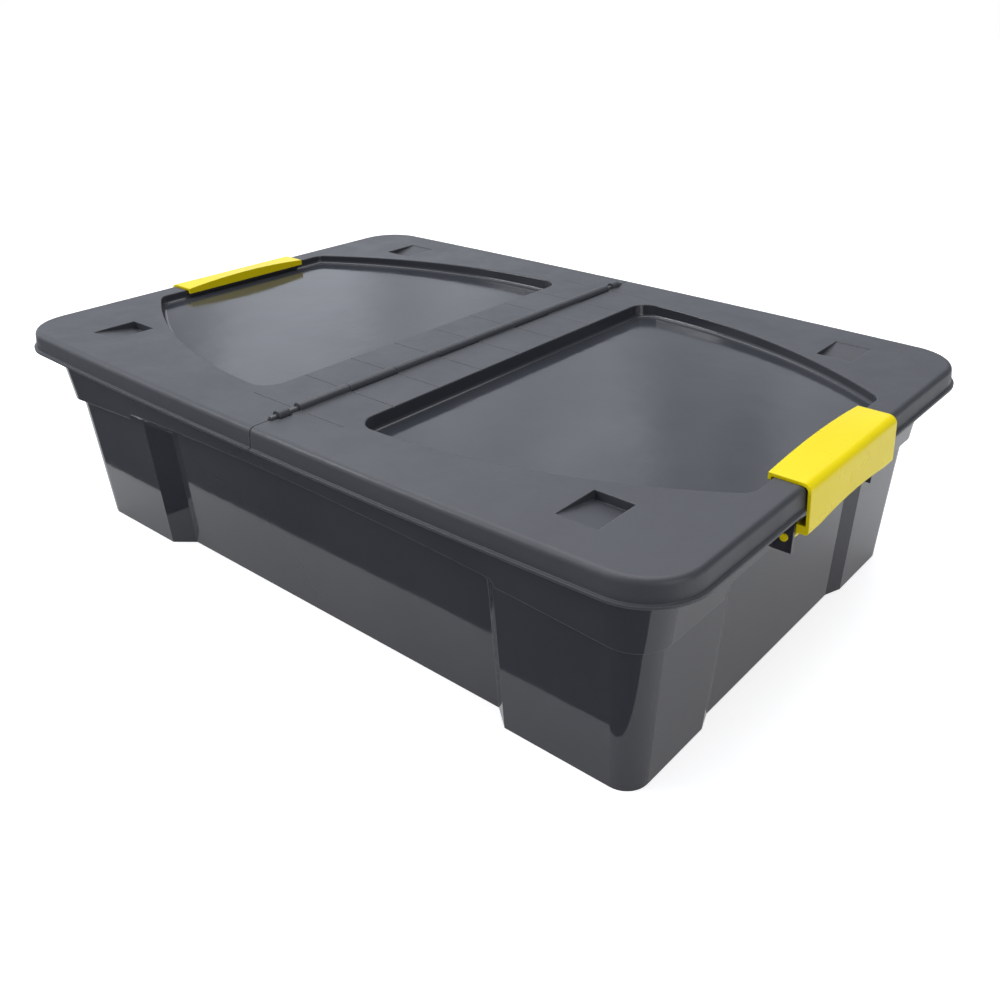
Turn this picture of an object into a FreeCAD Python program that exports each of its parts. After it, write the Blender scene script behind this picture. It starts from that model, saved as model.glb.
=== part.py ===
"""Under bed box: a shallow tub, a lid in two halves hinged across the middle, and two clip latches.

Millimetres, +Z up, X along the box. The origin is on the floor under the middle of the box.
"""
import FreeCAD, Part
import math
import os

import Sketcher

doc = FreeCAD.newDocument("under_bed_box")
sheet = doc.addObject("Spreadsheet::Sheet", "dims")

DRIVING = {
    # tub: the foot is the outline on the floor, the collar is the wider band under the lid
    "foot_length": 538,
    "foot_width": 346,
    "foot_radius": 15.5,
    "wall_draft": 2.8,
    "collar_base": 103,
    "collar_rise": 11,
    "collar_length": 557,
    "collar_width": 366,
    "collar_radius": 24,
    "collar_draft": 6,
    "tub_height": 157.4,
    "tub_wall": 2,
    "floor_thickness": 2.4,
    "rim_length": 587,
    "rim_width": 388,
    "rim_radius": 32,
    "rim_thickness": 2.2,
    # how far a cutter runs on past what it cuts, and how far a joined piece roots in its neighbour
    "run_on": 10,
    "root": 1,
    # pressed-in panels in the four walls, cut up into the collar: half widths at foot and head, height,
    # depth, and how far the slanted sides and top run out; the cutters reach past the wall and the floor
    "panel_reach": 8,
    "panel_below": 6,
    "side_panel_foot": 160,
    "side_panel_head": 158,
    "side_panel_top": 99.5,
    "side_panel_arch": 5,
    "side_panel_depth": 12,
    "side_panel_flare": 15,
    "side_panel_lead": 10,
    "side_panel_corner": 8,
    "end_panel_foot": 84.5,
    "end_panel_head": 78,
    "end_panel_top": 104,
    "end_panel_arch": 1.5,
    "end_panel_depth": 5,
    "end_panel_flare": 14,
    "end_panel_lead": 4,
    "end_panel_corner": 10,
    # lid
    "lid_length": 600,
    "lid_crest": 205.8,
    "lid_bow": 7570,
    "lid_corner": 39,
    "lid_edge": 145.4,
    "lid_top": 160.2,
    "lid_wall": 2.4,
    "lip_reach": 1.6,
    "lip_height": 1.8,
    "skirt_draft": 7,
    "top_round": 4,
    "split_gap": 0.8,
    # window: a pan sunk into each half, with a floor that rises towards the latch
    "window_start": 44,
    "window_end": 278,
    "window_crest": 157.2,
    "window_crest_place": 46.4,
    "window_bow": 406,
    "window_corner": 15,
    "window_end_corner": 12,
    "window_floor": 150.2,
    "window_floor_end": 153.7,
    "window_draft": 6,
    "window_round": 1.2,
    "window_foot_round": 2.5,
    "pan_wall": 1.8,
    # stacking pockets
    "pocket_start": 210,
    "pocket_length": 27,
    "pocket_inner": 135,
    "pocket_outer": 169,
    "pocket_depth": 6,
    "pocket_lead": 0.6,
    # hinge
    "hinge_height": 160.7,
    "knuckle_radius": 3.8,
    "knuckle_pitch": 41.5,
    "knuckle_gap": 0.5,
    "rod_radius": 1.75,
    "rod_half_length": 187,
    "end_knuckle_start": 173.5,
    "end_knuckle_length": 8.5,
    "crease_width": 0.8,
    "crease_depth": 0.5,
    "crease_start": 6,
    "hinge_rib_length": 356,
    "hinge_rib_depth": 9,
    "hinge_rib_thickness": 2.6,
    "pin_clearance": 0.05,
    # seats in the lid's ends, where the latches lie
    "seat_half_length": 61.5,
    "seat_level": 159,
    "seat_face": 298.45,
    # latches
    "latch_pivot_x": 287,
    "latch_pivot_z": 123.5,
    "latch_pin_radius": 2.5,
    "latch_length": 120,
    "latch_inner": 274,
    "latch_shoulder": 300.2,
    "latch_outer": 302.2,
    "latch_plate": 159.5,
    "latch_wall": 2.1,
    "latch_hook": 157.3,
    "latch_foot": 130.5,
    "latch_round": 6,
    "latch_inner_round": 2.8,
    "latch_crown": 3,
    "latch_crown_outer": 0.05,
    "latch_arch": 4.2,
    "latch_arch_end": 5,
    "latch_heel": 294.6,
    "latch_heel_height": 5.5,
    "latch_arm_start": 45,
    "latch_arm_thickness": 9,
    "latch_hub_radius": 4.2,
    "gusset_place": 54.7,
    "gusset_thickness": 2.5,
    "gusset_reach": 292.3,
    "gusset_bottom": 114,
}
for row, (alias, value) in enumerate(DRIVING.items(), start=1):
    sheet.set(f"A{row}", alias)
    sheet.set(f"B{row}", str(value))
    sheet.setAlias(f"B{row}", alias)
doc.recompute()


def size(alias):
    """The number in one cell of the sheet."""
    return float(sheet.get(alias))


def add(kind, name, **values):
    """A new document object with some of its properties set."""
    thing = doc.addObject(kind, name)
    for key, value in values.items():
        setattr(thing, key, value)
    return thing


def bind(thing, **formulas):
    """Ties properties to the sheet: Placement parts are written as place_x, place_y, place_z."""
    for key, formula in formulas.items():
        if key.startswith("place_"):
            key = "Placement.Base." + key[-1]
        thing.setExpression(key, formula)
    return thing


# ---------------------------------------------------------------- outlines

def pin_down(sketch, kind, *where, formula):
    """One dimension of a sketch, tied to a formula."""
    index = sketch.addConstraint(Sketcher.Constraint(kind, *where))
    sketch.setExpression(f"Constraints[{index}]", formula)


def chain(sketch, count):
    """Joins each of the outline's edges to the next, smoothly."""
    for edge in range(count):
        sketch.addConstraint(Sketcher.Constraint("Tangent", edge, 2, (edge + 1) % count, 1))


def line(x0, y0, x1, y1):
    return Part.LineSegment(FreeCAD.Vector(x0, y0, 0), FreeCAD.Vector(x1, y1, 0))


def arc(x, y, radius, start, end):
    """An arc round (x, y), anticlockwise from start to end, in radians."""
    circle = Part.Circle(FreeCAD.Vector(x, y, 0), FreeCAD.Vector(0, 0, 1), radius)
    return Part.ArcOfCircle(circle, start, end)


def rounded_rectangle(name, length, width, radius):
    """A rectangle round the origin with round corners, from three cells of the sheet."""
    sketch = add("Sketcher::SketchObject", name)
    x, y, r = size(length) / 2, size(width) / 2, size(radius)
    quarter = math.pi / 2
    corners = [(x - r, y - r), (r - x, y - r), (r - x, r - y), (x - r, r - y)]
    sides = [(x - r, y, r - x, y), (-x, y - r, -x, r - y), (r - x, -y, x - r, -y), (x, r - y, x, y - r)]
    for turn, (corner, side) in enumerate(zip(corners, sides)):
        sketch.addGeometry(arc(*corner, r, turn * quarter, (turn + 1) * quarter), False)
        sketch.addGeometry(line(*side), False)
    chain(sketch, 8)
    for edge, direction in ((1, "Horizontal"), (3, "Vertical"), (5, "Horizontal"), (7, "Vertical")):
        sketch.addConstraint(Sketcher.Constraint(direction, edge))
    for edge in (2, 4, 6):
        sketch.addConstraint(Sketcher.Constraint("Equal", 0, edge))
    pin_down(sketch, "Radius", 0, r, formula=f"dims.{radius}")
    pin_down(sketch, "DistanceX", -1, 1, 7, 1, x, formula=f"dims.{length} / 2")
    pin_down(sketch, "DistanceX", -1, 1, 3, 1, -x, formula=f"-dims.{length} / 2")
    pin_down(sketch, "DistanceY", -1, 1, 1, 1, y, formula=f"dims.{width} / 2")
    pin_down(sketch, "DistanceY", -1, 1, 5, 1, -y, formula=f"-dims.{width} / 2")
    return sketch


def bowed_outline(name, start, end, crest, radius, end_corner, start_corner=None):
    """Half of a lid, seen from above: straight at the hinge and at the end, bowed along both sides.

    start and end are (number, formula) along X, crest is ((x, y) of the bow's top, its two formulas),
    radius and the corners are (number, formula). With no start_corner the hinge corners are sharp.
    """
    (x0, x1), ((cx, cy), _) = (start[0], end[0]), crest
    big, r1 = radius[0], end_corner[0]
    centre = cy - big

    def corner(x, r, side):
        """Centre of a corner that touches a straight end at x and the bow, and where the bow turns."""
        along = x + side * r
        up = centre + math.sqrt((big - r) ** 2 - (along - cx) ** 2)
        return along, up, math.atan2(up - centre, along - cx)

    ex, ey, e_turn = corner(x1, r1, -1)
    if start_corner:
        r0 = start_corner[0]
        sx, sy, s_turn = corner(x0, r0, 1)
    else:
        s_turn = math.acos((x0 - cx) / big)
        sy = centre + big * math.sin(s_turn)
    edges = [line(x1, -ey, x1, ey), arc(ex, ey, r1, 0, e_turn), arc(cx, centre, big, e_turn, s_turn)]
    if start_corner:
        edges.append(arc(sx, sy, r0, s_turn, math.pi))
    edges.append(line(x0, sy, x0, -sy))
    if start_corner:
        edges.append(arc(sx, -sy, r0, math.pi, 2 * math.pi - s_turn))
    edges.append(arc(cx, -centre, big, 2 * math.pi - s_turn, 2 * math.pi - e_turn))
    edges.append(arc(ex, -ey, r1, 2 * math.pi - e_turn, 2 * math.pi))
    sketch = add("Sketcher::SketchObject", name)
    for edge in edges:
        sketch.addGeometry(edge, False)
    hinge_side = 4 if start_corner else 3
    count = len(edges)
    for edge in range(count):
        after = (edge + 1) % count
        sharp = not start_corner and hinge_side in (edge, after)
        sketch.addConstraint(Sketcher.Constraint("Coincident" if sharp else "Tangent", edge, 2, after, 1))
    sketch.addConstraint(Sketcher.Constraint("Vertical", 0))
    sketch.addConstraint(Sketcher.Constraint("Vertical", hinge_side))
    for edge in (2, count - 2):
        side = 1 if edge == 2 else -1
        sign = "" if edge == 2 else "-"
        pin_down(sketch, "Radius", edge, big, formula=radius[1])
        pin_down(sketch, "DistanceX", -1, 1, edge, 3, cx, formula=crest[1][0])
        pin_down(sketch, "DistanceY", -1, 1, edge, 3, side * centre,
                 formula=f"{sign}({crest[1][1]} - {radius[1]})")
    for edge in (1, count - 1):
        pin_down(sketch, "Radius", edge, r1, formula=end_corner[1])
    if start_corner:
        for edge in (3, 5):
            pin_down(sketch, "Radius", edge, r0, formula=start_corner[1])
    pin_down(sketch, "DistanceX", -1, 1, 0, 1, x1, formula=end[1])
    pin_down(sketch, "DistanceX", -1, 1, hinge_side, 1, x0, formula=start[1])
    return sketch


def wall_panel(name, level, foot, head, top, arch):
    """The outline of a pressed-in panel, upright: wider at the foot, with an arched top edge.

    level, foot, head, top and arch are (number, formula).
    """
    sketch = add("Sketcher::SketchObject", name)
    low, half_foot, half_head, high, rise = (pair[0] for pair in (level, foot, head, top, arch))
    radius = (half_head ** 2 + rise ** 2) / (2 * rise)
    swing = math.asin(half_head / radius)
    crown = arc(0, high + rise - radius, radius, math.pi / 2 - swing, math.pi / 2 + swing)
    for edge in (line(-half_foot, low, half_foot, low), line(half_foot, low, half_head, high), crown,
                 line(-half_head, high, -half_foot, low)):
        sketch.addGeometry(edge, False)
    for edge in range(4):
        sketch.addConstraint(Sketcher.Constraint("Coincident", edge, 2, (edge + 1) % 4, 1))
    corners = ((0, 1, -half_foot, low, f"-({foot[1]})", level[1]), (1, 1, half_foot, low, foot[1], level[1]),
               (2, 1, half_head, high, head[1], top[1]), (3, 1, -half_head, high, f"-({head[1]})", top[1]))
    for edge, end, x, y, across, up in corners:
        pin_down(sketch, "DistanceX", -1, 1, edge, end, x, formula=across)
        pin_down(sketch, "DistanceY", -1, 1, edge, end, y, formula=up)
    pin_down(sketch, "Radius", 2, radius, formula=f"(({head[1]})^2 + ({arch[1]})^2) / (2 * ({arch[1]}))")
    return sketch


# ---------------------------------------------------------------- solids

def slab(name, outline, bottom, height, grow=None, draft=None):
    """A plate over an outline. grow widens the outline, draft leans the sides outwards going up."""
    base = outline
    if grow is not None:
        base = bind(add("Part::Offset2D", name + "_outline", Source=outline, Join=2), Value=grow)
    plate = add("Part::Extrusion", name, Base=base, DirMode="Custom", Solid=True,
                Dir=FreeCAD.Vector(0, 0, 1))
    bind(plate, LengthFwd=height, place_z=bottom)
    if draft is not None:
        bind(plate, TaperAngle=draft)
    return plate


def box(name, x, y, z, length, width, height):
    """A block from its low corner and its sizes, all formulas."""
    return bind(add("Part::Box", name), Length=length, Width=width, Height=height,
                place_x=x, place_y=y, place_z=z)


def bar(name, x, y, z, radius, length):
    """A round bar along Y, starting at y."""
    rod = add("Part::Cylinder", name)
    rod.Placement.Rotation = FreeCAD.Rotation(FreeCAD.Vector(1, 0, 0), -90)
    return bind(rod, Radius=radius, Height=length, place_x=x, place_y=y, place_z=z)


def leaning(name, low, high, foot, top, start, length):
    """A block along Y from start, whose X extent (from, to) is foot at the level low and top at high."""
    block = add("Part::Wedge", name)
    # turned so that the wedge's own Y points up and its own Z along -Y
    block.Placement.Rotation = FreeCAD.Rotation(FreeCAD.Vector(1, 0, 0), 90)
    first, last = f"-({start}) - ({length})", f"-({start})"
    return bind(block, Ymin=low, Ymax=high, Xmin=foot[0], Xmax=foot[1], X2min=top[0], X2max=top[1],
                Zmin=first, Z2min=first, Zmax=last, Z2max=last)


def fuse(name, *shapes):
    return add("Part::MultiFuse", name, Shapes=list(shapes), Refine=True)


def cut(name, base, *tools):
    tool = tools[0] if len(tools) == 1 else fuse(name + "_tools", *tools)
    return add("Part::Cut", name, Base=base, Tool=tool, Refine=True)


def mirrored(name, source, normal):
    return add("Part::Mirroring", name, Source=source, Normal=FreeCAD.Vector(*normal))


def rounded(name, base, radius, chosen):
    """Rounds the edges of base that chosen(edge) picks."""
    doc.recompute()
    numbered = enumerate(base.Shape.Edges, start=1)
    edges = [(number, radius, radius) for number, edge in numbered if chosen(edge)]
    return add("Part::Fillet", name, Base=base, Edges=edges)


# ---------------------------------------------------------------- tub

def panel_cutter(name, wall_half, panel, at_end, inside):
    """The block that presses one panel into the front wall, or into the wall at the +X end.

    wall_half is the cell of the wall's full distance across, panel the prefix of the panel's cells. The
    cutter for the inside of the tub is larger by the wall's thickness.
    """
    thick, more = (size("tub_wall"), " + dims.tub_wall") if inside else (0, "")
    foot, head, top, arch, depth, flare, lead = (
        size(f"{panel}_{key}") for key in ("foot", "head", "top", "arch", "depth", "flare", "lead"))
    below, reach = size("panel_below"), size("panel_reach")
    cell = f"dims.{panel}_"
    stretch, stretch_text = 1 + reach / depth, f"(1 + dims.panel_reach / {cell}depth)"
    faces = []
    for side in ("face", "opening"):
        half_foot, half_head, high = foot + thick, head + thick, top + thick
        foot_text, head_text, high_text = f"({cell}foot{more})", f"({cell}head{more})", f"({cell}top{more})"
        out_text = f"-({cell}depth{more})"
        if side == "opening":
            half_foot += flare * stretch
            half_head += flare * stretch
            high += lead * stretch
            foot_text = f"({cell}foot{more} + {cell}flare * {stretch_text})"
            head_text = f"({cell}head{more} + {cell}flare * {stretch_text})"
            high_text = f"({cell}top{more} + {cell}lead * {stretch_text})"
            out_text = "dims.panel_reach"
        low = half_foot + (half_foot - half_head) * below / high
        low_text = f"{foot_text} + ({foot_text} - {head_text}) * dims.panel_below / {high_text}"
        face = wall_panel(f"{name}_{side}", (-below, "-dims.panel_below"), (low, low_text),
                          (half_head, head_text), (high, high_text), (arch, f"{cell}arch"))
        upright = FreeCAD.Rotation(FreeCAD.Vector(1, 0, 0), 90 + size("wall_draft"))
        quarter = FreeCAD.Rotation(FreeCAD.Vector(0, 0, 1), 90 if at_end else 0)
        face.Placement = FreeCAD.Placement(FreeCAD.Vector(0, 0, 0), quarter.multiply(upright))
        if at_end:
            bind(face, place_x=f"dims.{wall_half} / 2 + {out_text}")
        else:
            bind(face, place_y=f"-(dims.{wall_half} / 2 + {out_text})")
        faces.append(face)
    block = add("Part::Loft", name + "_block", Sections=faces, Solid=True, Ruled=True)

    def upper_corner(edge):
        """The two edges that run outwards from the ends of the arched top."""
        first, last = edge.Vertexes[0], edge.Vertexes[-1]
        across = "Y" if at_end else "X"
        outwards = "X" if at_end else "Y"
        runs_out = abs(getattr(first, outwards) - getattr(last, outwards)) > depth / 2
        one_side = getattr(first, across) * getattr(last, across) > 0
        return min(first.Z, last.Z) > top / 2 and runs_out and one_side

    return rounded(name, block, size(f"{panel}_corner"), upper_corner)


foot_outline = rounded_rectangle("foot_outline", "foot_length", "foot_width", "foot_radius")
collar_outline = rounded_rectangle("collar_outline", "collar_length", "collar_width", "collar_radius")
rim_outline = rounded_rectangle("rim_outline", "rim_length", "rim_width", "rim_radius")


def tub_block(name, inside):
    """The tub as if it were solid, or the space inside it."""
    grow = "-dims.tub_wall" if inside else None
    floor, more = ("dims.floor_thickness", " + dims.tub_wall") if inside else ("0", "")
    walls = slab(name + "_walls", foot_outline, floor, f"dims.tub_height{more} - {floor}", grow,
                 "dims.wall_draft")
    side = panel_cutter(name + "_side_panel", "foot_width", "side_panel", False, inside)
    end = panel_cutter(name + "_end_panel", "foot_length", "end_panel", True, inside)
    panels = (side, mirrored(name + "_back_panel", side, (0, 1, 0)),
              end, mirrored(name + "_far_end_panel", end, (1, 0, 0)))
    band = slab(name + "_band", collar_outline, f"dims.collar_base{more}",
                "dims.tub_height - dims.collar_base", grow, "dims.collar_draft")
    # the collar's lower edge rises in one long arc from end to end
    radius = "((dims.collar_length / 2)^2 + dims.collar_rise^2) / (2 * dims.collar_rise)"
    sweep = bar(name + "_sweep", "0", "-dims.collar_width",
                f"dims.collar_base{more} + dims.collar_rise - {radius}", radius, "2 * dims.collar_width")
    plain = fuse(name + "_plain", walls, cut(name + "_collar", band, sweep))
    return cut(name, plain, *panels)


def gusset(name, side):
    """One of the two brackets at the +X end that carry the latch's pins; side is 1 or -1."""
    inner = "dims.collar_length / 2 - dims.root"
    start = "dims.gusset_place" if side > 0 else "-dims.gusset_place - dims.gusset_thickness"
    return box(name, inner, start, "dims.gusset_bottom", f"dims.gusset_reach - ({inner})",
               "dims.gusset_thickness", "dims.tub_height - dims.rim_thickness / 2 - dims.gusset_bottom")


def tub():
    outside, inside = tub_block("tub_outside", False), tub_block("tub_inside", True)
    rim = slab("rim", rim_outline, "dims.tub_height - dims.rim_thickness", "dims.rim_thickness")
    brackets = fuse("brackets", gusset("front_gusset", -1), gusset("back_gusset", 1))
    bore = bar("latch_bore", "dims.latch_pivot_x", "-dims.latch_length / 2", "dims.latch_pivot_z",
               "dims.latch_pin_radius + dims.pin_clearance", "dims.latch_length")
    near = cut("bored_brackets", brackets, bore)
    body = fuse("tub_body", outside, rim, near, mirrored("far_brackets", near, (1, 0, 0)))
    return cut("tub", body, inside)


# ---------------------------------------------------------------- lid

def half_formula(alias):
    return size(alias) / 2, f"dims.{alias} / 2"


def cell(alias):
    return size(alias), f"dims.{alias}"


# the lid's outline runs on past the hinge, and the half is cut off square at the split
lid_outline = bowed_outline("lid_outline", (-2 * size("run_on"), "-2 * dims.run_on"),
                            half_formula("lid_length"),
                            ((0.01, size("lid_crest")), ("0.01 mm", "dims.lid_crest")),
                            cell("lid_bow"), cell("lid_corner"))
window_outline = bowed_outline(
    "window_outline", cell("window_start"), cell("window_end"),
    ((size("window_crest_place"), size("window_crest")), ("dims.window_crest_place", "dims.window_crest")),
    cell("window_bow"), cell("window_end_corner"), cell("window_corner"))


def window_pan(name, grow):
    """The sunk space of a window, or with grow the outside of the pan round it."""
    space = grow == "0"
    low = f"dims.window_floor - {grow}"
    top = "dims.lid_top + dims.root" if space else "dims.lid_top - dims.lid_wall / 2"
    inset = "(dims.lid_top - dims.window_floor) * tan(dims.window_draft * 1 deg)"
    pan = slab(name, window_outline, low, f"{top} - ({low})", f"{grow} - {inset}", "dims.window_draft")
    past = "dims.window_end + dims.run_on"
    under = leaning(name + "_under_floor", low, f"dims.window_floor_end - {grow}",
                    ("dims.window_start", past), (past, past), "-dims.window_crest", "2 * dims.window_crest")
    sloped = cut(name + "_sloped", pan, under)
    if not space:
        return sloped
    highest = size("window_floor_end") + size("root")
    return rounded(name + "_foot_round", sloped, size("window_foot_round"),
                   lambda edge: max(v.Z for v in edge.Vertexes) < highest)


def pocket(name, side, grow):
    """A stacking pocket's wedge: its floor falls from the lid's edge towards the middle of the box."""
    wedge = add("Part::Wedge", name)
    inner, outer = f"dims.pocket_inner - {grow}", f"dims.pocket_outer + {grow}"
    first, last = (inner, outer) if side > 0 else (f"-({outer})", f"-({inner})")
    top = "dims.lid_top + dims.root" if grow == "0" else "dims.lid_top - dims.lid_wall / 2"
    deep, shallow = f"dims.lid_top - dims.pocket_depth - {grow}", f"dims.lid_top - dims.pocket_lead - {grow}"
    low_first, low_last = (deep, shallow) if side > 0 else (shallow, deep)
    start, finish = f"dims.pocket_start - {grow}", f"dims.pocket_start + dims.pocket_length + {grow}"
    return bind(wedge, Xmin=start, X2min=start, Xmax=finish, X2max=finish, Ymin=first, Ymax=last,
                Zmin=low_first, Z2min=low_last, Zmax=top, Z2max=top)


def knuckle_spans():
    """The knuckles of the +X half as (start, length), and the gaps that the other half's need."""
    pitch, gap = "dims.knuckle_pitch", "dims.knuckle_gap"
    own = [(f"{k - 4} * {pitch} + {gap} / 2", f"{pitch} - {gap}") for k in (0, 2, 4, 6)]
    others = [(f"{k - 4} * {pitch} - {gap} / 2", f"{pitch} + {gap}") for k in (1, 3, 5, 7)]
    own.append(("dims.end_knuckle_start", "dims.end_knuckle_length"))
    others.append((f"-dims.end_knuckle_start - dims.end_knuckle_length - {gap}",
                   f"dims.end_knuckle_length + 2 * {gap}"))
    return own, others


def lid_half():
    """The +X half of the lid. The other half is the same moulding turned round."""
    plate = slab("lid_plate", lid_outline, "dims.lid_edge", "dims.lid_top - dims.lid_edge", "-dims.lip_reach",
                 "-dims.skirt_draft")
    top = size("lid_top")
    plate = rounded("lid_round", plate, size("top_round"),
                    lambda edge: min(v.Z for v in edge.Vertexes) > top - 0.01
                    and max(v.X for v in edge.Vertexes) > 0)
    lip = slab("lid_lip", lid_outline, "dims.lid_edge", "dims.lip_height")
    hollow = slab("lid_hollow", lid_outline, "dims.lid_edge - dims.root",
                  "dims.lid_top - dims.lid_wall - dims.lid_edge + dims.root",
                  "-dims.lip_reach - dims.lid_wall", "-dims.skirt_draft")
    split = box("lid_split", "-3 * dims.run_on", "-dims.lid_crest - dims.run_on",
                "dims.lid_edge - dims.run_on", "3 * dims.run_on + dims.split_gap / 2",
                "2 * (dims.lid_crest + dims.run_on)", "dims.lid_top - dims.lid_edge + 2 * dims.run_on")
    shell = cut("lid_shell", fuse("lid_block", plate, lip), hollow, split)
    pockets = [pocket(f"pocket_{where}", side, "0") for where, side in (("front", -1), ("back", 1))]
    bosses = [pocket(f"pocket_boss_{where}", side, "dims.pan_wall")
              for where, side in (("front", -1), ("back", 1))]
    rib = box("hinge_rib", "dims.split_gap / 2", "-dims.hinge_rib_length / 2",
              "dims.lid_top - dims.lid_wall / 2 - dims.hinge_rib_depth", "dims.hinge_rib_thickness",
              "dims.hinge_rib_length", "dims.hinge_rib_depth")
    own, others = knuckle_spans()
    axis = "dims.hinge_height"
    clear = [bar(f"knuckle_room_{n}", "0", start, axis, "dims.knuckle_radius + dims.knuckle_gap", length)
             for n, (start, length) in enumerate(others)]
    knuckles = [bar(f"knuckle_{n}", "0", start, axis, "dims.knuckle_radius", length)
                for n, (start, length) in enumerate(own)]
    room = "dims.rod_half_length + dims.root"
    rod_room = bar("rod_room", "0", f"-({room})", axis, "dims.rod_radius + dims.knuckle_gap", f"2 * ({room})")
    bore = bar("rod_bore", "0", f"-({room})", axis, "dims.rod_radius + dims.pin_clearance", f"2 * ({room})")
    creases = [box(f"crease_{k + 4}", "dims.crease_start",
                   f"{k} * dims.knuckle_pitch - dims.crease_width / 2", "dims.lid_top - dims.crease_depth",
                   "dims.window_start - dims.crease_start", "dims.crease_width",
                   "dims.crease_depth + dims.root")
               for k in range(-4, 5)]
    solids = fuse("lid_solids", shell, rib, window_pan("pan", "dims.pan_wall"), *bosses)
    panned = cut("lid_panned", solids, window_pan("window", "0"))
    start, end, crest = size("window_start") - 1, size("window_end") + 1, size("window_crest") + 1

    def window_edge(edge):
        return all(abs(v.Z - top) < 0.01 and start < v.X < end and abs(v.Y) < crest for v in edge.Vertexes)

    panned = rounded("window_rim", panned, size("window_round"), window_edge)
    seats = (box("latch_seat", "dims.window_start", "-dims.seat_half_length", "dims.seat_level",
                 "dims.lid_length / 2", "2 * dims.seat_half_length", "dims.run_on"),
             box("latch_seat_face", "dims.seat_face", "-dims.seat_half_length",
                 "dims.lid_edge - dims.root", "dims.run_on", "2 * dims.seat_half_length",
                 "dims.lid_top - dims.lid_edge + dims.root"))
    body = cut("lid_pierced", panned, *pockets, *clear, *creases, *seats, rod_room)
    return cut("lid_right", fuse("lid_with_knuckles", body, *knuckles), bore)


# ---------------------------------------------------------------- latches

def latch():
    """The +X latch: a C-shaped clip over the lid's edge, on two pins in the tub's brackets."""
    wall, half, length = "dims.latch_wall", "dims.latch_length / 2", "dims.latch_length"
    inner, shoulder, outer = "dims.latch_inner", "dims.latch_shoulder", "dims.latch_outer"
    foot, heel_top = "dims.latch_foot", "dims.latch_foot + dims.latch_heel_height"
    top = "dims.latch_plate + dims.latch_wall"
    plate = box("latch_top", inner, f"-{half}", "dims.latch_plate", f"{shoulder} - {inner}", length, wall)
    face = leaning("latch_face", foot, top, (f"{outer} - {wall}", outer), (f"{shoulder} - {wall}", shoulder),
                   f"-{half}", length)
    hook = box("latch_hook_lip", inner, f"-{half}", "dims.latch_hook", wall, length,
               f"{top} - dims.latch_hook")
    heel = box("latch_heel_bar", "dims.latch_heel", f"-{half}", foot,
               f"{outer} - {wall} / 2 - dims.latch_heel", length, "dims.latch_heel_height")
    shell = fuse("latch_section", plate, face, hook, heel)
    x_shoulder, x_out, thick = size("latch_shoulder"), size("latch_outer"), size("latch_wall")
    z_plate, z_foot = size("latch_plate"), size("latch_foot")

    def along_y(x, z):
        return lambda edge: all(abs(v.X - x) < 0.3 and abs(v.Z - z) < 0.01 for v in edge.Vertexes)

    shell = rounded("latch_outer_shoulder", shell, size("latch_round"), along_y(x_shoulder, z_plate + thick))
    shell = rounded("latch_inner_shoulder", shell, size("latch_inner_round"),
                    along_y(x_shoulder - thick, z_plate))
    shell = rounded("latch_heel_round", shell, thick, along_y(x_out, z_foot))
    crowns = []
    ends, sunk = (size("latch_length") / 2, half), f"{top} - {wall} / 2"
    for where, place, rise in (("inner", inner, "latch_crown"),
                               ("outer", f"{shoulder} - dims.latch_round", "latch_crown_outer")):
        crown = wall_panel(f"latch_crown_{where}", (z_plate + thick / 2, sunk), ends, ends,
                           (z_plate + thick, top), (size(rise), f"dims.{rise}"))
        crown.Placement.Rotation = FreeCAD.Rotation(FreeCAD.Vector(1, 1, 1), 120)
        crowns.append(bind(crown, place_x=place))
    crown = add("Part::Loft", "latch_crown", Sections=crowns, Solid=True, Ruled=True)
    arch_radius = f"(({half} - dims.latch_arch_end)^2 + dims.latch_arch^2) / (2 * dims.latch_arch)"
    arch = add("Part::Cylinder", "latch_arch_cutter")
    arch.Placement.Rotation = FreeCAD.Rotation(FreeCAD.Vector(0, 1, 0), 90)
    bind(arch, Radius=arch_radius, Height="2 * dims.run_on", place_x=f"{outer} - 1.5 * dims.run_on",
         place_z=f"{foot} + dims.latch_arch - {arch_radius}")
    pieces = [cut("latch_clip", fuse("latch_crowned", shell, crown), arch)]
    for where, side in (("front", -1), ("back", 1)):
        start, thickness = "dims.latch_arm_start", "dims.latch_arm_thickness"
        pin_end = "dims.gusset_place + dims.gusset_thickness + dims.root"
        low = start if side > 0 else f"-({start} + {thickness})"
        pin_low = start if side > 0 else f"-({pin_end})"
        x, z, hub = "dims.latch_pivot_x", "dims.latch_pivot_z", "dims.latch_hub_radius"
        pieces.append(bar(f"latch_hub_{where}", x, low, z, hub, thickness))
        pieces.append(bar(f"latch_pin_{where}", x, pin_low, z, "dims.latch_pin_radius",
                          f"{pin_end} - {start}"))
        pieces.append(leaning(f"latch_arm_{where}", z, heel_top, (f"{x} - {hub}", f"{x} + {hub}"),
                              ("dims.latch_heel", f"{outer} - {wall}"), low, thickness))
    return fuse("latch_right", *pieces)


# ---------------------------------------------------------------- the pieces

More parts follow.
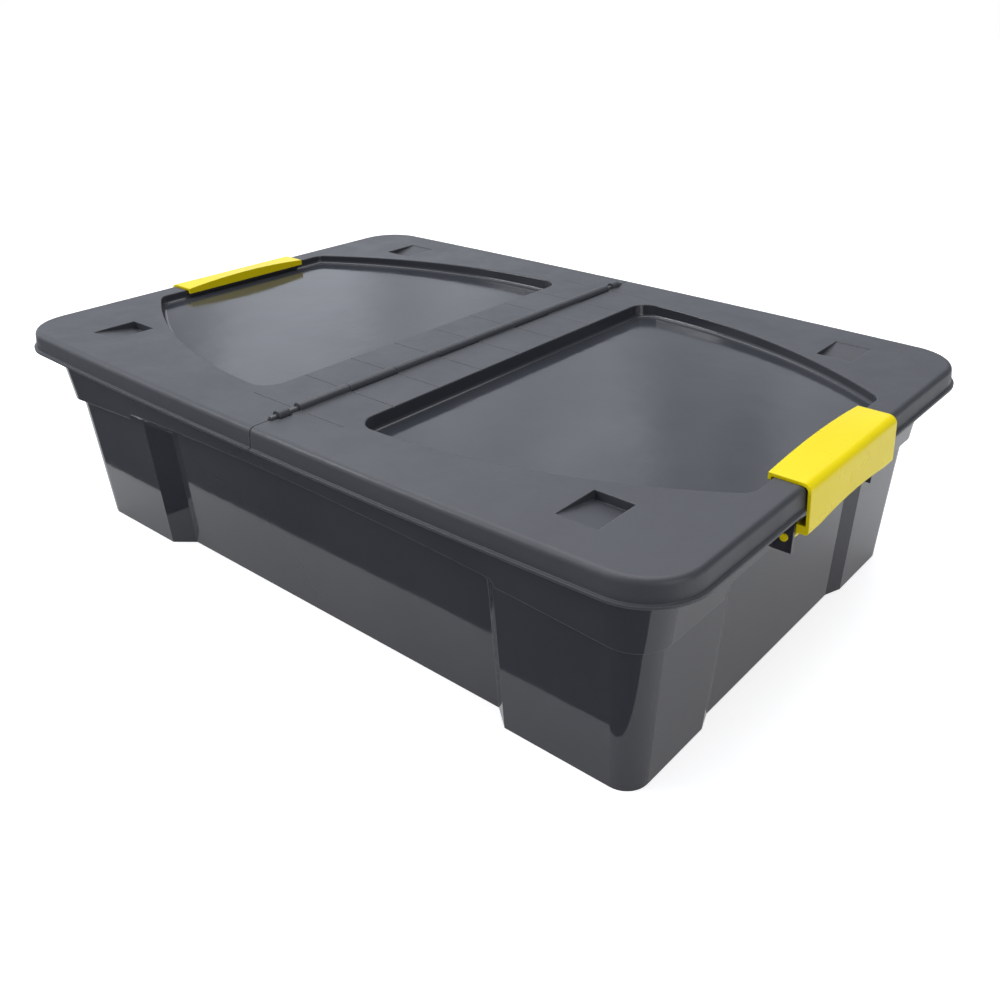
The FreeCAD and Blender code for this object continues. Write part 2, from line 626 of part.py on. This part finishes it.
right_lid = lid_half()
right_latch = latch()
pieces = {
    "tub": tub(),
    "hinge_rod": bar("hinge_rod", "0", "-dims.rod_half_length", "dims.hinge_height", "dims.rod_radius",
                     "2 * dims.rod_half_length"),
    "lid_right": right_lid,
    "lid_left": mirrored("lid_left", mirrored("lid_left_turned", right_lid, (1, 0, 0)), (0, 1, 0)),
    "latch_right": right_latch,
    "latch_left": mirrored("latch_left", right_latch, (1, 0, 0)),
}
doc.recompute()
for name, piece in pieces.items():
    piece.Label = name
bad = [thing.Name for thing in doc.Objects if {"Invalid", "Error"} & set(thing.State)]
assert not bad, f"failed objects: {bad}"
os.makedirs("parts", exist_ok=True)
for name, piece in pieces.items():
    shape = piece.Shape
    assert not shape.isNull() and shape.isValid() and len(shape.Solids) == 1, f"{name} is not one sound solid"
    print(f"{name:12s} {shape.Volume / 1000:9.1f} cm3  {shape.BoundBox}")
    shape.exportStep(f"parts/{name}.step")
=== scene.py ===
import math

import bpy
from mathutils import Matrix, Vector


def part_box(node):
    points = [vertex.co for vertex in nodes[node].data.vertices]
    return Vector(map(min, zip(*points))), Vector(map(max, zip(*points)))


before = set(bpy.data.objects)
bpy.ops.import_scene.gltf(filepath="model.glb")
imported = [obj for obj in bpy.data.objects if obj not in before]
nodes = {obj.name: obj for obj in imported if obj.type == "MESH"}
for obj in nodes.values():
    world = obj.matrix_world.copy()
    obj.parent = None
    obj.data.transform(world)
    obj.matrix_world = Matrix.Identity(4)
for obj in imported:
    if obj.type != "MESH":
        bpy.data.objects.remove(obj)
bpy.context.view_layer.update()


# ---------------------------------------------------------------- node helpers

NOISE_LOW, NOISE_HIGH = 0.3, 0.7        # most of a noise lies between these


class Tree:
    """A few short calls for building one node tree."""

    def __init__(self, tree):
        self.tree = tree
        tree.nodes.clear()

    def put(self, value, socket):
        if isinstance(value, bpy.types.NodeSocket):
            self.tree.links.new(value, socket)
        elif isinstance(value, tuple) and len(socket.default_value) == 4:
            socket.default_value = (*value, 1)
        else:
            socket.default_value = value

    def node(self, kind, inputs=None, **settings):
        made = self.tree.nodes.new(kind)
        for key, value in settings.items():
            setattr(made, key, value)
        for key, value in (inputs or {}).items():
            self.put(value, made.inputs[key])
        return made

    def math(self, operation, *values):
        return self.node("ShaderNodeMath", dict(enumerate(values)), operation=operation).outputs[0]

    def noise(self, where, scale, detail, rough=0.5):
        made = self.node("ShaderNodeTexNoise", {"Vector": where, "Scale": scale, "Detail": detail,
                                                "Roughness": rough})
        return made.outputs["Fac"]

    def stretched(self, where, factors):
        """Coordinates stretched along each axis."""
        return self.node("ShaderNodeMapping", {"Vector": where, "Scale": factors}).outputs[0]

    def between(self, value, low=NOISE_LOW, high=NOISE_HIGH, start=0.0, end=1.0, smooth=True):
        """value mapped from low..high to start..end, and held at the ends."""
        made = self.node("ShaderNodeMapRange", {0: value, 1: low, 2: high, 3: start, 4: end})
        made.interpolation_type = "SMOOTHSTEP" if smooth else "LINEAR"
        return made.outputs[0]

    def mix(self, factor, first, second):
        """A blend of two colours, by the mix node's colour sockets."""
        made = self.node("ShaderNodeMix", data_type="RGBA")
        self.put(factor, made.inputs["Factor"])
        self.put(first, made.inputs[6])
        self.put(second, made.inputs[7])
        return made.outputs[2]

    def bump(self, height, strength, distance, normal=None):
        inputs = {"Height": height, "Strength": strength, "Distance": distance}
        if normal is not None:
            inputs["Normal"] = normal
        return self.node("ShaderNodeBump", inputs).outputs[0]

    def soft_edges(self, radius):
        """The normal with the small round that a mould leaves on every edge."""
        return self.node("ShaderNodeBevel", {"Radius": radius}, samples=6).outputs[0]

    def surface(self, **inputs):
        """A principled shader, its inputs given by their names with _ for a space."""
        named = {key.replace("_", " "): value for key, value in inputs.items()}
        return self.node("ShaderNodeBsdfPrincipled", named).outputs[0]


def material(name):
    made = bpy.data.materials.new(name)
    made.use_nodes = True
    tree = Tree(made.node_tree)
    place = tree.node("ShaderNodeTexCoord").outputs["Object"]
    return made, tree, place


def finish(tree, shader):
    tree.node("ShaderNodeOutputMaterial", {"Surface": shader})


# ---------------------------------------------------------------- materials

SMOKE = (0.036, 0.037, 0.045)
LID = (0.045, 0.047, 0.056)
SPECKLE = (0.11, 0.112, 0.12)
# the window floor, a touch paler than the SMOKE of the window's walls: painted light for light coming up
# through the translucent tub
PANE_PAINTED_LIGHT = (0.038, 0.040, 0.048)
# the pale edge colour: part handling wear, part painted highlight of edges catching the light
EDGE_WEAR_AND_HIGHLIGHT = (0.30, 0.305, 0.315)
YELLOW = (0.86, 0.69, 0.002)
ROD_DARK, ROD_PALE = (0.07, 0.072, 0.076), (0.09, 0.092, 0.097)
PLASTIC_IOR = 1.49

# the window in a lid half, seen from above: a straight start and end, a bow along each side, and the
# round of its rim; its floor rises from start to end
WINDOW_START, WINDOW_END, WINDOW_RIM = 0.0440, 0.2780, 0.0012
BOW_ALONG, BOW_ACROSS, BOW_RADIUS = 0.0464, -0.2488, 0.4060
LID_TOP, PANE_START, PANE_END = 0.1602, 0.1502, 0.1537

# how the finish changes at the window: over these depths below the lid's top, over these distances out
# from and in from the rim, and over these heights above the window's floor
SUNK_FROM, SUNK_TO = 0.0001, 0.0004
RIM_OUT, RIM_IN = 0.0006, 0.0002
FLOOR_FROM, FLOOR_TO = 0.0010, 0.0002

# cosines of the angle between face and soft edge, where the paler edge starts and where it is full: part
# wear, part painted highlight
PALE_EDGE_FROM, PALE_EDGE_TO = 0.995, 0.90


def shades(tree, factor, colour, spread):
    """A colour that drifts by a share of itself."""
    return tree.mix(tree.between(factor), tuple(c * (1 - spread) for c in colour),
                    tuple(c * (1 + spread) for c in colour))


def worn_and_highlit_edges(tree, colour, radius, share):
    """colour, a little paler at every soft edge: part handling wear, part painted highlight of edges
    catching the light.
    """
    flat = tree.node("ShaderNodeNewGeometry").outputs["Normal"]
    along = tree.node("ShaderNodeVectorMath", {0: tree.soft_edges(radius), 1: flat},
                      operation="DOT_PRODUCT").outputs["Value"]
    return tree.mix(tree.between(along, PALE_EDGE_FROM, PALE_EDGE_TO, end=share), colour, EDGE_WEAR_AND_HIGHLIGHT)


def tub_material():
    """Glossy plastic with a slow wave in it and faint upright scuffs."""
    made, tree, place = material("smoke_tub")
    cloud = tree.noise(place, scale=9.0, detail=4.0)
    flow = tree.noise(place, scale=38.0, detail=3.0)
    scuff = tree.noise(tree.stretched(place, (4.0, 4.0, 60.0)), scale=9.0, detail=5.0, rough=0.7)
    # the tub's soft edges a little paler: part wear, part painted highlight
    colour = worn_and_highlit_edges(tree, shades(tree, cloud, SMOKE, spread=0.10), radius=0.0010, share=0.03)
    rough = tree.math("ADD", tree.between(flow, high=0.75, start=0.05, end=0.09),
                      tree.between(scuff, low=0.62, high=0.8, end=0.10))
    normal = tree.bump(cloud, strength=0.10, distance=0.003, normal=tree.soft_edges(0.0005))
    finish(tree, tree.surface(Base_Color=colour, Roughness=rough, Normal=normal, IOR=PLASTIC_IOR))
    return made


def window_share(tree, along, across, height):
    """1 in the window of a lid half and 0 on the frame round it."""
    from_centre = tree.math("SQRT", tree.math(
        "ADD", tree.math("POWER", tree.math("SUBTRACT", along, BOW_ALONG), 2.0),
        tree.math("POWER", tree.math("SUBTRACT", across, BOW_ACROSS), 2.0)))
    inside = tree.math("MINIMUM", tree.math("SUBTRACT", BOW_RADIUS, from_centre),
                       tree.math("MINIMUM", tree.math("SUBTRACT", along, WINDOW_START),
                                 tree.math("SUBTRACT", WINDOW_END, along)))
    sunk = tree.between(height, LID_TOP - SUNK_FROM, LID_TOP - SUNK_TO)
    return tree.math("MULTIPLY", sunk, tree.between(inside, -WINDOW_RIM - RIM_OUT, -WINDOW_RIM + RIM_IN))


def lid_material():
    """A grained matt frame and a smooth, glossy window, told apart by where the window is in the lid."""
    made, tree, place = material("smoke_lid")
    x, y, height = tree.node("ShaderNodeSeparateXYZ", {0: place}).outputs
    along, across = tree.math("ABSOLUTE", x), tree.math("ABSOLUTE", y)
    window = window_share(tree, along, across, height)
    cloud = tree.noise(place, scale=11.0, detail=4.0)
    grain = tree.noise(place, scale=2600.0, detail=2.0, rough=0.6)
    smudge = tree.noise(place, scale=28.0, detail=5.0, rough=0.6)
    edges = tree.soft_edges(0.0011)

    # the frame's soft edges paler: part wear, part painted highlight of edges catching the light
    frame_colour = worn_and_highlit_edges(tree, shades(tree, cloud, LID, spread=0.05), radius=0.0014, share=0.16)
    frame_colour = tree.mix(tree.between(grain, low=0.35, high=0.65, end=0.10), frame_colour, SPECKLE)
    waves = tree.bump(cloud, strength=0.10, distance=0.003, normal=edges)
    frame_surface = tree.surface(
        Base_Color=frame_colour, Roughness=tree.between(smudge, start=0.40, end=0.50),
        Normal=tree.bump(grain, strength=0.30, distance=0.00010, normal=waves), IOR=PLASTIC_IOR)

    # the window's floor is painted a touch paler than its walls: painted light standing in for light
    # through the translucent plastic
    floor_level = tree.between(along, WINDOW_START, WINDOW_END, PANE_START, PANE_END, smooth=False)
    pane_painted_light = tree.between(tree.math("SUBTRACT", height, floor_level), FLOOR_FROM, FLOOR_TO)
    window_surface = tree.surface(
        Base_Color=tree.mix(pane_painted_light, SMOKE, shades(tree, cloud, PANE_PAINTED_LIGHT, spread=0.10)),
        Roughness=tree.between(smudge, high=0.8, start=0.09, end=0.17),
        Normal=tree.bump(cloud, strength=0.15, distance=0.004, normal=edges), IOR=PLASTIC_IOR)
    mixed = tree.node("ShaderNodeMixShader", {0: window, 1: frame_surface, 2: window_surface})
    finish(tree, mixed.outputs[0])
    return made


def clip_material():
    """Smooth yellow plastic."""
    made, tree, place = material("yellow_clip")
    cloud = tree.noise(place, scale=14.0, detail=3.0)
    smudge = tree.noise(place, scale=70.0, detail=4.0)
    finish(tree, tree.surface(
        Base_Color=shades(tree, cloud, YELLOW, spread=0.02),
        Roughness=tree.between(smudge, start=0.27, end=0.31), Normal=tree.soft_edges(0.0008),
        IOR=PLASTIC_IOR, Specular_IOR_Level=0.25))
    return made


def rod_material():
    """Dark plastic with fine marks."""
    made, tree, place = material("hinge_rod")
    marks = tree.noise(place, scale=300.0, detail=2.0)
    finish(tree, tree.surface(
        Base_Color=tree.mix(tree.between(marks), ROD_DARK, ROD_PALE),
        Roughness=tree.between(marks, start=0.3, end=0.4),
        Normal=tree.bump(marks, strength=0.1, distance=0.0001)))
    return made


smoke_lid, yellow_clip = lid_material(), clip_material()
for name, finished in (("tub", tub_material()), ("hinge_rod", rod_material()), ("lid_right", smoke_lid),
                       ("lid_left", smoke_lid), ("latch_right", yellow_clip), ("latch_left", yellow_clip)):
    mesh = nodes[name].data
    mesh.materials.clear()
    mesh.materials.append(finished)


# ---------------------------------------------------------------- camera

CAMERA_PLACE = (0.486186, -0.520881, 0.410970)
CAMERA_ROUND, CAMERA_ABOVE, CAMERA_ROLL = 38.647, 28.951, 0.167     # degrees

camera = bpy.data.objects.new("camera", bpy.data.cameras.new("camera"))
bpy.context.scene.collection.objects.link(camera)
camera.location = CAMERA_PLACE
turn, tilt, roll = (math.radians(angle) for angle in (CAMERA_ROUND, 90 - CAMERA_ABOVE, CAMERA_ROLL))
camera.rotation_euler = (Matrix.Rotation(turn, 3, "Z") @ Matrix.Rotation(tilt, 3, "X")
                         @ Matrix.Rotation(roll, 3, "Z")).to_euler()
camera.data.sensor_width = 36
camera.data.lens = 35.902
camera.data.shift_x = -0.04748
camera.data.shift_y = 0.00779
camera.data.clip_start = 0.02
camera.data.clip_end = 50
bpy.context.scene.camera = camera


# ---------------------------------------------------------------- floor and card

FLOOR_HALF = 6.0
FLOOR_GREY, CARD_GREY = (0.62, 0.62, 0.62), (0.02, 0.02, 0.022)
# the card's half length and depth, its gap from the foot of the tub's front wall, its height off the floor
CARD_HALF, CARD_DEPTH, CARD_GAP, CARD_RISE = 1.5, 1.4, 0.038, 0.001
RIM_PAST_WALL = 0.021       # how far the tub's rim stands out past the foot of its front wall
PAPER_ROUGHNESS, PAPER_DARKEST = 0.6, 0.985


def plate(name, corners, finished, **seen):
    """A flat four-cornered stage piece."""
    mesh = bpy.data.meshes.new(name)
    mesh.from_pydata(corners, [], [(0, 1, 2, 3)])
    mesh.materials.append(finished)
    made = bpy.data.objects.new(name, mesh)
    bpy.context.scene.collection.objects.link(made)
    for key, value in seen.items():
        setattr(made, key, value)


def paper(name, colour, seen_glow=0.0, glow=0.0):
    """Plain studio paper, which may be lit up, and more so where it is looked at directly."""
    made, tree, place = material(name)
    tone = tree.noise(place, scale=3.0, detail=2.0)
    paint = tree.mix(tree.between(tone), tuple(c * PAPER_DARKEST for c in colour), colour)
    direct = tree.node("ShaderNodeLightPath").outputs["Is Camera Ray"]
    strength = tree.between(direct, 0.0, 1.0, glow, seen_glow, smooth=False)
    finish(tree, tree.surface(Base_Color=paint, Roughness=PAPER_ROUGHNESS, Emission_Color=(1, 1, 1),
                              Emission_Strength=strength))
    return made


def rectangle(x0, x1, y0, y1, z):
    return [(x0, y0, z), (x1, y0, z), (x1, y1, z), (x0, y1, z)]


plate("floor", rectangle(-FLOOR_HALF, FLOOR_HALF, -FLOOR_HALF, FLOOR_HALF, 0),
      paper("floor", FLOOR_GREY, seen_glow=0.76, glow=0.30))
# a dark card on the floor in front of the tub, seen only in the tub's gloss
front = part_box("tub")[0][1] + RIM_PAST_WALL
card_edge = front - CARD_GAP
plate("dark_card", rectangle(-CARD_HALF, CARD_HALF, card_edge - CARD_DEPTH, card_edge, CARD_RISE),
      paper("dark_card", CARD_GREY), visible_camera=False, visible_diffuse=False, visible_shadow=False,
      visible_transmission=False)


# ---------------------------------------------------------------- lamps and room

LAMP_COLOUR = (0.975, 0.99, 1.0)


def lamp(name, place, aim, width, height, power):
    data = bpy.data.lights.new(name, "AREA")
    data.shape = "RECTANGLE"
    data.size, data.size_y, data.energy, data.color = width, height, power, LAMP_COLOUR
    made = bpy.data.objects.new(name, data)
    made.location = place
    made.rotation_euler = (Vector(aim) - Vector(place)).to_track_quat("-Z", "Y").to_euler()
    bpy.context.scene.collection.objects.link(made)


lamp("top_light", place=(-0.2, 0.3, 2.2), aim=(0, 0, 0), width=2.4, height=2.4, power=43)
# a low strip at the front left, which draws the pale lines along the far rims of the windows
lamp("strip_light", place=(-1.1, -1.16, 1.2), aim=(0, 0.1, 0.16), width=0.7, height=0.22, power=9)
lamp("side_light", place=(1.9, -0.5, 0.7), aim=(0.3, 0, 0.1), width=0.8, height=0.8, power=7)

# the room: paler overhead and to the left, with soft upright streaks that show in the glossy panes,
# and plain white where it is looked at directly
ROOM_RED, ROOM_BLUE = 0.955, 1.09       # the room's tint, as shares of its green
STREAKS = (7.0, 7.0, 1.2)

world = bpy.data.worlds.new("studio")
bpy.context.scene.world = world
world.use_nodes = True
sky = Tree(world.node_tree)
direction = sky.node("ShaderNodeTexCoord").outputs["Generated"]
left_right, _, up = sky.node("ShaderNodeSeparateXYZ", {0: direction}).outputs
tone = sky.math("MULTIPLY", sky.between(up, low=-0.1, high=0.7, start=0.30, end=0.55),
                sky.between(left_right, low=0.3, high=-0.9, start=0.36, end=2.1))
streaks = sky.noise(sky.stretched(direction, STREAKS), scale=1.0, detail=1.5)
tone = sky.math("MULTIPLY", tone, sky.between(streaks, low=0.35, high=0.65, start=0.66, end=1.35))
tinted = sky.node("ShaderNodeCombineColor", {0: sky.math("MULTIPLY", tone, ROOM_RED), 1: tone,
                                             2: sky.math("MULTIPLY", tone, ROOM_BLUE)}).outputs[0]
studio = sky.node("ShaderNodeBackground", {"Color": tinted, "Strength": 1.0})
white = sky.node("ShaderNodeBackground", {"Color": (1, 1, 1), "Strength": 1.0})
direct = sky.node("ShaderNodeLightPath").outputs["Is Camera Ray"]
both = sky.node("ShaderNodeMixShader", {0: direct, 1: studio.outputs[0], 2: white.outputs[0]})
sky.node("ShaderNodeOutputWorld", {"Surface": both.outputs[0]})

bpy.context.scene.view_settings.view_transform = "Standard"
bpy.context.scene.view_settings.look = "None"
